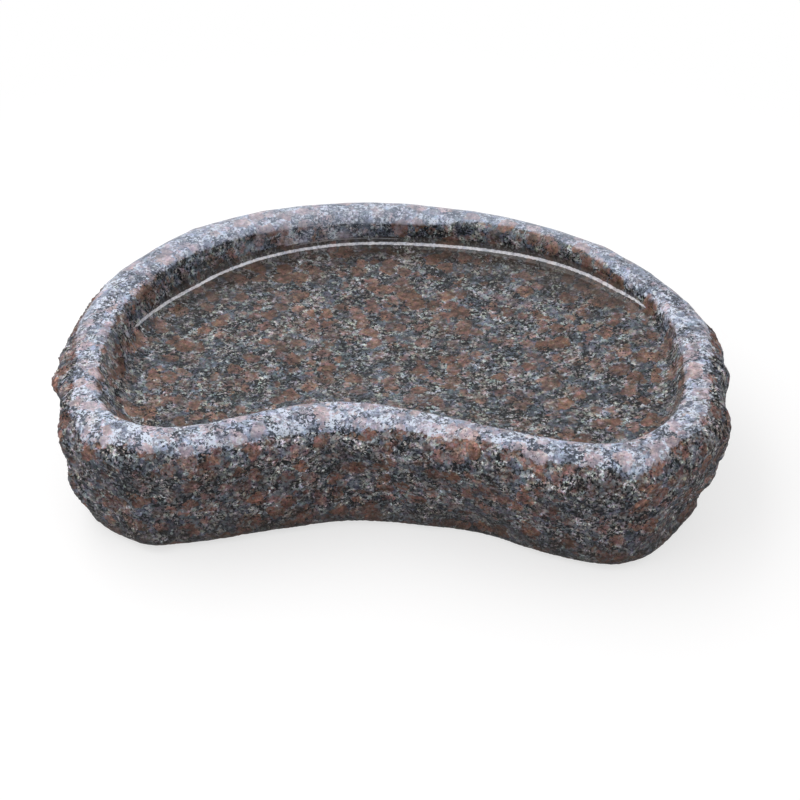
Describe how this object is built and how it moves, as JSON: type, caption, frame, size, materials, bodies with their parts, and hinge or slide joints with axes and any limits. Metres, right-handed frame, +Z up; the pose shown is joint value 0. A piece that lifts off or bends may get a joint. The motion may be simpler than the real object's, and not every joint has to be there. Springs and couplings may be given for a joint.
{
  "type": "stone bird bath",
  "caption": "Kidney-shaped ground bird bath carved from solid red-brown granite: hewn leaning sides, honed round crown, shallow polished basin, flat underside",
  "frame": {"origin": "on the flat underside, below the middle of the stone's bounding box", "axes": "+X along the length, +Y towards the round back (the hollow of the kidney faces -Y), +Z up"},
  "size_m": [0.392, 0.3012, 0.08],
  "materials": {
    "granite": "polished basin, honed crown, hewn sides"
  },
  "bodies": {
    "root": {"granite_basin": "granite"}
  },
  "joints": []
}
